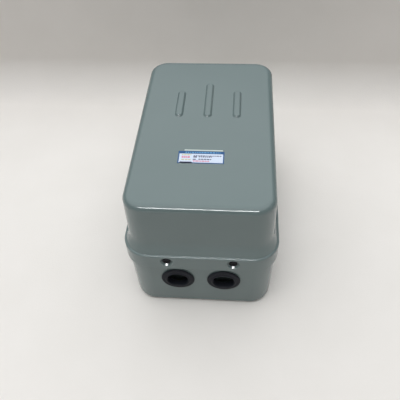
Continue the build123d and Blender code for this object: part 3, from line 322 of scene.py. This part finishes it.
finishes["zinc_steel"] = bare_metal("zinc_plate", "#C3C9CC", "#A9AEB0", 0.32, 0.15, 6.0, 6.0)
# near-black steel: on the cover screws it gives the dark of their heads down in the dimples, a dark screw
# together with painted shade of the recess
finishes["dark_steel"] = bare_metal("dark_steel_and_painted_recess_shade", "#26272B", "#17181B", 0.42, 0.2, 2.0, 2.0)
finishes["brass_parts"] = bare_metal("tumbled_brass", "#D8B46A", "#B08D4B", 0.3, 0.2, 1.5, 3.0)
finishes["copper_parts"] = bare_metal("rolled_copper", "#D78E68", "#A5654A", 0.3, 0.12, 12.0, 5.0)
finishes["spring_steel"] = bare_metal("drawn_spring_wire", "#B9BCC2", "#8F9297", 0.28, 0.1, 4.0, 3.0)
print("finishes so far", len(finishes))

# %% [markdown]
# ## Laminations and coil tape
# Alternating current would heat a solid iron core, so both halves of the magnet are stacks of half
# millimetre sheets riveted together, and their edges show as fine lines across Y. The coil is wound on
# its bobbin and wrapped in yellow polyester tape, whose overlaps make bands up the coil, along Z. Both
# are a wave texture in bands along one axis: the lines of the stack also cut into the surface.

# %% Banded finishes
def banded(name, bright, dark, axis, pitch, roughness, metallic):
    """Bands of a pitch in millimetres along an axis, as sheets or tape laid side by side."""
    material, tree, shader, place = start_material(name, bright, roughness, metallic)
    # at a scale of 1 a wave texture repeats every 2 pi / 20 of a metre
    bands = add_node(
        tree,
        "ShaderNodeTexWave",
        {"Vector": place, "Scale": per(pitch) * math.tau / 20, "Distortion": 0.4, "Detail Scale": 2.0},
        bands_direction=axis,
    )
    tone = add_node(
        tree,
        "ShaderNodeMix",
        {"Factor": bands.outputs["Fac"], MIX_A: linear(dark), MIX_B: linear(bright)},
        data_type="RGBA",
    )
    step = add_node(
        tree,
        "ShaderNodeBump",
        {"Height": bands.outputs["Fac"], "Strength": 0.6, "Distance": 0.1 * MM},
    )
    tree.links.new(tone.outputs[MIX_RESULT], shader.inputs["Base Color"])
    tree.links.new(step.outputs["Normal"], shader.inputs["Normal"])
    return material


finishes["core_steel"] = banded("ground_laminations", "#9A9A9C", "#5E5D5C", "Y", 0.5, 0.35, 1.0)
finishes["coil_tape"] = banded("polyester_tape", "#D9B13A", "#B8902A", "Z", 4.0, 0.3, 0.0)
print("banded finishes", finishes["core_steel"].name, finishes["coil_tape"].name)

# %% [markdown]
# ## The nameplate's foil
# The plate is thin foil with a satin, slightly bluish white lacquer. It would be easy to draw the whole
# plate as a flat picture, but a picture needs an image file, and printed inks really are separate thin
# layers. So the foil is one even material here and each ink is laid over it below.

# %% Foil
foil, tree, shader, place = start_material("lacquered_foil", "#D3DFF1", 0.28)
rolling = add_node(tree, "ShaderNodeTexNoise", {"Vector": place, "Scale": per(3.0), "Detail": 2.0})
dent = add_node(
    tree,
    "ShaderNodeBump",
    {"Height": rolling.outputs["Fac"], "Strength": 0.3, "Distance": 0.05 * MM},
)
tree.links.new(dent.outputs["Normal"], shader.inputs["Normal"])
finishes["nameplate_print"] = foil

# %% Give every CAD node its finish
for subpart in frame["record"]["subparts"]:
    frame["nodes"][subpart["node"]].material_slots[0].material = finishes[subpart["material_slot"]]

# %% [markdown]
# ## Ink on the nameplate
# A nameplate like this is screen printed, one ink at a time: blue for the frame and the heading band,
# grey and rose for the entries, and a pale ink in the band. The entries here are plain bars of random
# length, as a printer's dummy text. They say nothing, but they have the rhythm of words. Each ink is one
# piece, made of bars a few hundredths of a millimetre thick, placed from the CAD plate's own corners.

# %% A helper that makes a finished piece
def new_piece(name, piece_bm, material, body):
    """Turns a bmesh into a piece at the origin, with its finish, body and slot."""
    mesh = bpy.data.meshes.new(name)
    piece_bm.to_mesh(mesh)
    piece_bm.free()
    piece = bpy.data.objects.new(name, mesh)
    bpy.context.scene.collection.objects.link(piece)
    mesh.materials.append(material)
    if body:
        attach(piece, body)
    return piece


# %% Ink helpers
plate_low, plate_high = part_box("nameplate")
PLATE_WIDTH = (plate_high.x - plate_low.x) / MM
PLATE_HEIGHT = (plate_high.y - plate_low.y) / MM
INK = 0.03  # how far one ink stands off what it is printed on
OVERPRINT = 2 * INK  # the second ink in a stack


def printing_ink(name, colour):
    """An ink with the slightly uneven gloss that a screen's mesh leaves."""
    ink, tree, shader, place = start_material(name, colour, 0.35)
    screen = add_node(
        tree,
        "ShaderNodeTexNoise",
        {"Vector": place, "Scale": per(0.4), "Detail": 2.0},
    )
    uneven = add_node(
        tree,
        "ShaderNodeMapRange",
        {"Value": screen.outputs["Fac"], "To Min": 0.25, "To Max": 0.45},
    )
    tree.links.new(uneven.outputs["Result"], shader.inputs["Roughness"])
    return ink


def ink_layer(name, bars, colour, depth=INK, rest=plate_high.z):
    """Lays bars (left, right, bottom, top), in millimetres from the plate's lower left, at a height."""
    ink_bm = bmesh.new()
    for left, right, bottom, top in bars:
        middle = Vector(((left + right) / 2, (bottom + top) / 2, depth / 2)) * MM
        place_bar = Matrix.Translation(Vector((plate_low.x, plate_low.y, rest)) + middle)
        stretch = Matrix.Diagonal(((right - left) * MM, (top - bottom) * MM, depth * MM, 1.0))
        bmesh.ops.create_cube(ink_bm, size=1.0, matrix=place_bar @ stretch)
    print(name, "has", len(bars), "bars")
    return new_piece(name, ink_bm, printing_ink(name, colour), "cover")


def dummy_words(start, end, longest, gap, seed):
    """Left and right ends of bars of random length that fill a line, as words would."""
    lengths = random.Random(seed)
    words = []
    while start < end:
        length = lengths.uniform(0.4, 1.0) * longest
        words.append((start, min(start + length, end)))
        start += length + gap
    return words


# %% Print the inks
FRAME_WIDTH = 0.9
BAND_HEIGHT = 2.9
band_bottom = PLATE_HEIGHT - BAND_HEIGHT
ink_layer(
    "blue_frame_ink",
    [
        (0.0, PLATE_WIDTH, band_bottom, PLATE_HEIGHT),
        (0.0, PLATE_WIDTH, 0.0, FRAME_WIDTH),
        (0.0, FRAME_WIDTH, FRAME_WIDTH, band_bottom),
        (PLATE_WIDTH - FRAME_WIDTH, PLATE_WIDTH, FRAME_WIDTH, band_bottom),
    ],
    "#004B84",
)
# bottom, height, start and end of each line of entries
grey_lines = [(8.2, 1.0, 12.6, 35.0), (6.9, 1.2, 16.8, 27.5), (4.1, 1.2, 16.8, 27.0)]
ink_layer(
    "grey_entry_ink",
    [
        (left, right, bottom, bottom + height)
        for seed, (bottom, height, start, end) in enumerate(grey_lines, start=3)
        for left, right in dummy_words(start, end, 2.0, 0.6, seed)
    ]
    + [(12.4, 15.4, 6.6, 8.0), (12.2, 14.6, 3.9, 5.1), (1.8, 11.6, 0.0, 1.7)],
    "#4A4868",
)
ink_layer(
    "rose_entry_ink",
    [(left, right, 1.9, 3.2) for left, right in dummy_words(12.4, 25.5, 2.8, 0.5, 8)]
    + [(left, right, 5.9, 8.2) for left, right in dummy_words(3.0, 9.8, 2.0, 0.4, 9)],
    "#D98CA6",
)
ink_layer(
    "straw_entry_ink",
    [
        (left, right, bottom, bottom + 1.2)
        for seed, bottom in enumerate((3.4, 9.2), start=20)
        for left, right in dummy_words(3.0, 10.6, 2.4, 0.6, seed)
    ],
    "#C9C69A",
)
ink_layer(
    "pale_heading_ink",
    [
        (left, right, band_bottom + 0.9, band_bottom + 2.1)
        for left, right in dummy_words(5.6, PLATE_WIDTH - 3.0, 1.5, 1.0, 30)
    ],
    "#6FB6E4",
    OVERPRINT,
)

# %% [markdown]
# ### The film's free edge
# The plate comes under a clear protective film, and its upper edge runs on past the foil onto the paint,
# where it bends up a little and catches the light as one pale line. That line is a painted highlight: the
# clear edge is a thin pale bar like the inks, but it rests on the cover, so that it keeps clear of the
# foil.

# %% Film edge
FILM_START, FILM_LENGTH, FILM_GAP, FILM_WIDTH, FILM_LIFT = 4.6, 31.5, 0.9, 1.3, 4 * INK
film_bottom = PLATE_HEIGHT + FILM_GAP
# the pale colour is a painted highlight, the light caught where the clear film's edge bends up
ink_layer(
    "film_edge_painted_highlight",
    [(FILM_START, FILM_START + FILM_LENGTH, film_bottom, film_bottom + FILM_WIDTH)],
    "#C4D0CC",
    FILM_LIFT,
    plate_low.z,
)

# %% [markdown]
# ## Rubber grommets
# Each cable entry has a rubber grommet snapped into the end wall. On the real one the lip round the bore
# stands proud as a soft bead, then the flange dips and thins to its outer edge, which grips the paint. A
# CAD ring has none of that. A ring is the clearest case for a lathe: a short profile is spun round the
# bore's axis, and the ring edges are then bevelled so that they roll over as moulded rubber does. The
# axis leans by the draft of the box's wall.

# %% Spin the grommets
WALL_DRAFT = math.radians(1.5)
FLANGE_STAND = 2.1  # the front of the grommet's box from the wall
CREASE, BEAD_ROUND = math.radians(25), 0.25
BORE, NECK, FLANGE, INNER_FLANGE = 9.0, 10.9, 14.2, 12.8
GROMMET_PROFILE = [  # radius and height over the wall
    (BORE, -3.3),
    (BORE, 1.4),
    (9.5, 2.05),
    (10.2, 2.05),
    (11.0, 1.35),
    (12.9, 1.5),
    (FLANGE, 0.9),
    (FLANGE, 0.1),
    (NECK, 0.1),
    (NECK, -1.3),
    (INNER_FLANGE, -1.3),
    (INNER_FLANGE, -2.6),
    (11.0, -3.3),
]


def grommet(side):
    """One grommet in place of the CAD's plain ring."""
    node = f"grommet_{side}"
    low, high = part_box(node)
    grommet_bm = bmesh.new()
    ring = [grommet_bm.verts.new((radius * MM, 0.0, height * MM)) for radius, height in GROMMET_PROFILE]
    edges = [grommet_bm.edges.new((a, b)) for a, b in zip(ring, ring[1:] + ring[:1])]
    bmesh.ops.spin(
        grommet_bm,
        geom=[*ring, *edges],
        cent=(0, 0, 0),
        axis=(0, 0, 1),
        dvec=(0, 0, 0),
        angle=math.tau,
        steps=72,
        use_merge=True,
    )
    bmesh.ops.remove_doubles(grommet_bm, verts=grommet_bm.verts[:], dist=0.001 * MM)
    bmesh.ops.recalc_face_normals(grommet_bm, faces=grommet_bm.faces[:])
    creases = [e for e in grommet_bm.edges if e.is_manifold and e.calc_face_angle() > CREASE]
    bmesh.ops.bevel(
        grommet_bm,
        geom=creases,
        offset=BEAD_ROUND * MM,
        segments=3,
        profile=0.5,
        affect="EDGES",
        material=-1,
        clamp_overlap=True,
    )
    outwards = Vector((0.0, -math.cos(WALL_DRAFT), -math.sin(WALL_DRAFT)))
    front = Vector(((low.x + high.x) / 2, low.y, (low.z + high.z) / 2))
    centre = front - outwards * FLANGE_STAND * MM
    aim = outwards.to_track_quat("Z", "Y").to_matrix().to_4x4()
    bmesh.ops.transform(grommet_bm, matrix=Matrix.Translation(centre) @ aim, verts=grommet_bm.verts[:])
    for face in grommet_bm.faces:
        face.smooth = True
    piece = new_piece(
        f"rubber_{node}", grommet_bm, finishes["grommet_rubber"], "base"
    )
    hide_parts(node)
    print(piece.name, "faces", len(piece.data.polygons))


for side in ("left", "right"):
    grommet(side)

# %% [markdown]
# ## Wound springs
# The contactor's two return springs and the relay's reset spring are coiled from round wire. A CAD solid
# moves as one rigid body, so a spring of the CAD would stay at full length and poke through whatever
# presses on it. Here each one starts as a small circle, the section of the wire, that is spun round the
# spring's axis and raised a little at every step. The coil keeps the full height of the CAD spring.

# %% Wind the springs
WIRE_SIDES, STEPS_PER_TURN = 10, 24
joint_rows = {row["name"]: row for row in frame["record"]["behaviour"]["joints"]}


def coil(node, mean_radius, wire_radius, turns):
    """The coils of one node, wound between the heights of the CAD spring."""
    low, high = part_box(node)
    reach = (mean_radius + wire_radius) * MM
    centres = sorted({round(y, 5) for y in (low.y + reach, high.y - reach)})
    steps = int(turns * STEPS_PER_TURN)
    rise = (high.z - low.z - 2 * wire_radius * MM) / steps
    coil_bm = bmesh.new()
    for centre_y in centres:
        start = Vector(((low.x + high.x) / 2 + mean_radius * MM, centre_y, low.z + wire_radius * MM))
        section = bmesh.ops.create_circle(
            coil_bm,
            segments=WIRE_SIDES,
            radius=wire_radius * MM,
            matrix=Matrix.Translation(start) @ Matrix.Rotation(math.radians(90), 4, "X"),
        )["verts"]
        bmesh.ops.spin(
            coil_bm,
            geom=[*section, *list(coil_bm.edges)[-WIRE_SIDES:]],
            cent=((low.x + high.x) / 2, centre_y, 0),
            axis=(0, 0, 1),
            dvec=(0, 0, rise),
            angle=math.tau * turns,
            steps=steps,
        )
    bmesh.ops.holes_fill(coil_bm, edges=[e for e in coil_bm.edges if e.is_boundary], sides=WIRE_SIDES)
    bmesh.ops.recalc_face_normals(coil_bm, faces=coil_bm.faces[:])
    for face in coil_bm.faces:
        face.smooth = len(face.verts) == 4
    piece = new_piece(f"wound_{node}", coil_bm, finishes["spring_steel"], "base")
    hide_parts(node)
    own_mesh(piece)


coil("return_springs", 3.0, 0.4, 4.5)
coil("reset_spring", 3.2, 0.4, 6)

# %% [markdown]
# ## Scale round the setting dial
# The relay's dial sets the current it trips at, against a ring of lines printed on the lid. Each line is
# the same small bar, turned about the dial's axis by its share of the dial's travel, and every fifth one
# is longer. Numbers are left out, because the relay's range isn't known.

# %% Print the dial's scale
SCALE_LINES, LONG_EVERY = 11, 5
LINE_WIDTH, LINE_GAP, SHORT_LINE, LONG_LINE = 0.35, 0.9, 1.3, 2.1
dial_low, dial_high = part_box("setting_dial")
dial_radius = (dial_high.x - dial_low.x) / 2
dial_foot = (dial_low + dial_high) / 2
dial_foot.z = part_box("relay_lid")[1].z
sweep = joint_rows["dial_turn"]["range_deg"]
scale_bm = bmesh.new()
for line in range(SCALE_LINES):
    length = (LONG_LINE if line % LONG_EVERY == 0 else SHORT_LINE) * MM
    bearing = math.radians(sweep[0] + (sweep[1] - sweep[0]) * line / (SCALE_LINES - 1))
    outward = Vector((0, dial_radius + LINE_GAP * MM + length / 2, INK * MM / 2))
    aim = Matrix.Translation(dial_foot) @ Matrix.Rotation(bearing, 4, "Z")
    stretch = Matrix.Diagonal((LINE_WIDTH * MM, length, INK * MM, 1.0))
    bmesh.ops.create_cube(scale_bm, size=1.0, matrix=aim @ Matrix.Translation(outward) @ stretch)
new_piece("dial_scale", scale_bm, printing_ink("white_scale_ink", "#D9D8D1"), "base")
print("dial scale lines", SCALE_LINES)

# %% [markdown]
# ## Floor and light
# The box lies on a pale cloth that runs back and turns up behind it. A studio shot of gloss paint needs
# two jobs done apart: lighting the surfaces and drawing the reflections. A wide soft panel overhead lights
# the surfaces, and is hidden from reflections so that it leaves no blotch on the rounded edges. A long
# strip halfway up in front shows in reflections only, where it draws a thin bright line along each edge.

# %% Cloth backdrop
NAP_SIZE, WASH_SIZE, NAP_DEPTH = 1.4, 60.0, 0.3  # millimetres
cloth, tree, shader, place = start_material("pale_cotton_cloth", "#E6E2DD", 0.95)
nap = add_node(tree, "ShaderNodeTexNoise", {"Vector": place, "Scale": per(NAP_SIZE), "Detail": 3.0})
wash = add_node(
    tree,
    "ShaderNodeTexNoise",
    {"Vector": place, "Scale": per(WASH_SIZE), "Detail": 3.0},
)
nap_bump = add_node(
    tree,
    "ShaderNodeBump",
    {"Height": nap.outputs["Fac"], "Strength": 0.4, "Distance": NAP_DEPTH * MM},
)
washed = add_node(
    tree,
    "ShaderNodeMix",
    {"Factor": wash.outputs["Fac"], MIX_A: linear("#E3DFDA"), MIX_B: linear("#EAE6E2")},
    data_type="RGBA",
)
tree.links.new(nap_bump.outputs["Normal"], shader.inputs["Normal"])
tree.links.new(washed.outputs[MIX_RESULT], shader.inputs["Base Color"])

CLOTH_HALF, CLOTH_FRONT = 1.6, -1.6
TURN_START, TURN_RADIUS, TURN_STEPS, CLOTH_RISE = 0.185, 0.045, 24, 0.095
cloth_bm = bmesh.new()
front_end = cloth_bm.verts.new((-CLOTH_HALF, CLOTH_FRONT, 0.0))
turn_end = cloth_bm.verts.new((-CLOTH_HALF, TURN_START, 0.0))
cloth_bm.edges.new((front_end, turn_end))
bmesh.ops.spin(
    cloth_bm,
    geom=[turn_end],
    cent=(-CLOTH_HALF, TURN_START, TURN_RADIUS),
    axis=(1, 0, 0),
    dvec=(0, 0, 0),
    angle=math.radians(90),
    steps=TURN_STEPS,
)
top_end = max(cloth_bm.verts, key=lambda v: v.co.z)
risen = bmesh.ops.extrude_vert_indiv(cloth_bm, verts=[top_end])["verts"]
bmesh.ops.translate(cloth_bm, verts=risen, vec=(0, 0, CLOTH_RISE))
swept = bmesh.ops.extrude_edge_only(cloth_bm, edges=cloth_bm.edges[:])["geom"]
far_side = [v for v in swept if isinstance(v, bmesh.types.BMVert)]
bmesh.ops.translate(cloth_bm, verts=far_side, vec=(2 * CLOTH_HALF, 0, 0))
bmesh.ops.recalc_face_normals(cloth_bm, faces=cloth_bm.faces[:])
for face in cloth_bm.faces:
    face.smooth = True
backdrop = new_piece("backdrop", cloth_bm, cloth, None)
print("backdrop faces", len(backdrop.data.polygons))


# %% Lights
def add_panel(name, place, target, size, power):
    """A soft rectangular light that faces a point."""
    data = bpy.data.lights.new(name, "AREA")
    data.shape = "RECTANGLE"
    data.size, data.size_y = size
    data.energy = power
    light = bpy.data.objects.new(name, data)
    bpy.context.scene.collection.objects.link(light)
    aim = (Vector(target) - Vector(place)).to_track_quat("-Z", "Y")
    light.matrix_world = Matrix.Translation(place) @ aim.to_matrix().to_4x4()
    return light


edge_strip = add_panel("edge_strip", (-0.1, -1.5, 1.6), (0, 0, 0.1), (1.4, 0.19), 34.0)
edge_strip.visible_diffuse = False
overhead = add_panel("overhead", (-0.15, -0.35, 2.2), (0, -0.05, 0), (1.0, 1.0), 14.0)
overhead.visible_glossy = False

# %% [markdown]
# The rest of the room is the world, whose brightness depends on direction alone. It is bright overhead,
# as a white ceiling is, and dim near the horizon, so that the end wall comes out darker than the cover's
# face. The bright part leans a little back and to the left, for the reflection in that face. Where the
# camera sees past the cloth, it sees an even grey wall instead.

# %% World
CEILING_AXIS = (-0.12, 0.12, 0.98)
WALL_TOP, CEILING_START = 0.5, 0.74  # as shares of the way up to the ceiling's axis
WALL_GLOW, CEILING_GLOW, FAR_WALL = 0.03, 1.5, 0.45
world = bpy.data.worlds.new("soft_room")
bpy.context.scene.world = world
world.use_nodes = True
room = world.node_tree
direction = add_node(room, "ShaderNodeTexCoord").outputs["Generated"]
height = add_node(room, "ShaderNodeVectorMath", {0: direction, 1: CEILING_AXIS}, operation="DOT_PRODUCT")
above = add_node(
    room,
    "ShaderNodeMapRange",
    {
        "Value": height.outputs["Value"],
        "From Min": WALL_TOP,
        "From Max": CEILING_START,
        "To Min": WALL_GLOW,
        "To Max": CEILING_GLOW,
    },
    interpolation_type="SMOOTHSTEP",
)
seen = add_node(room, "ShaderNodeLightPath").outputs["Is Camera Ray"]
shown = add_node(room, "ShaderNodeMix", {"Factor": seen, "A": above.outputs["Result"], "B": FAR_WALL})
background = room.nodes["Background"]
background.inputs["Color"].default_value = linear("#EDEFF0")
room.links.new(shown.outputs["Result"], background.inputs["Strength"])
bpy.context.scene.view_settings.view_transform = "Standard"
print("lights", len(bpy.data.lights))
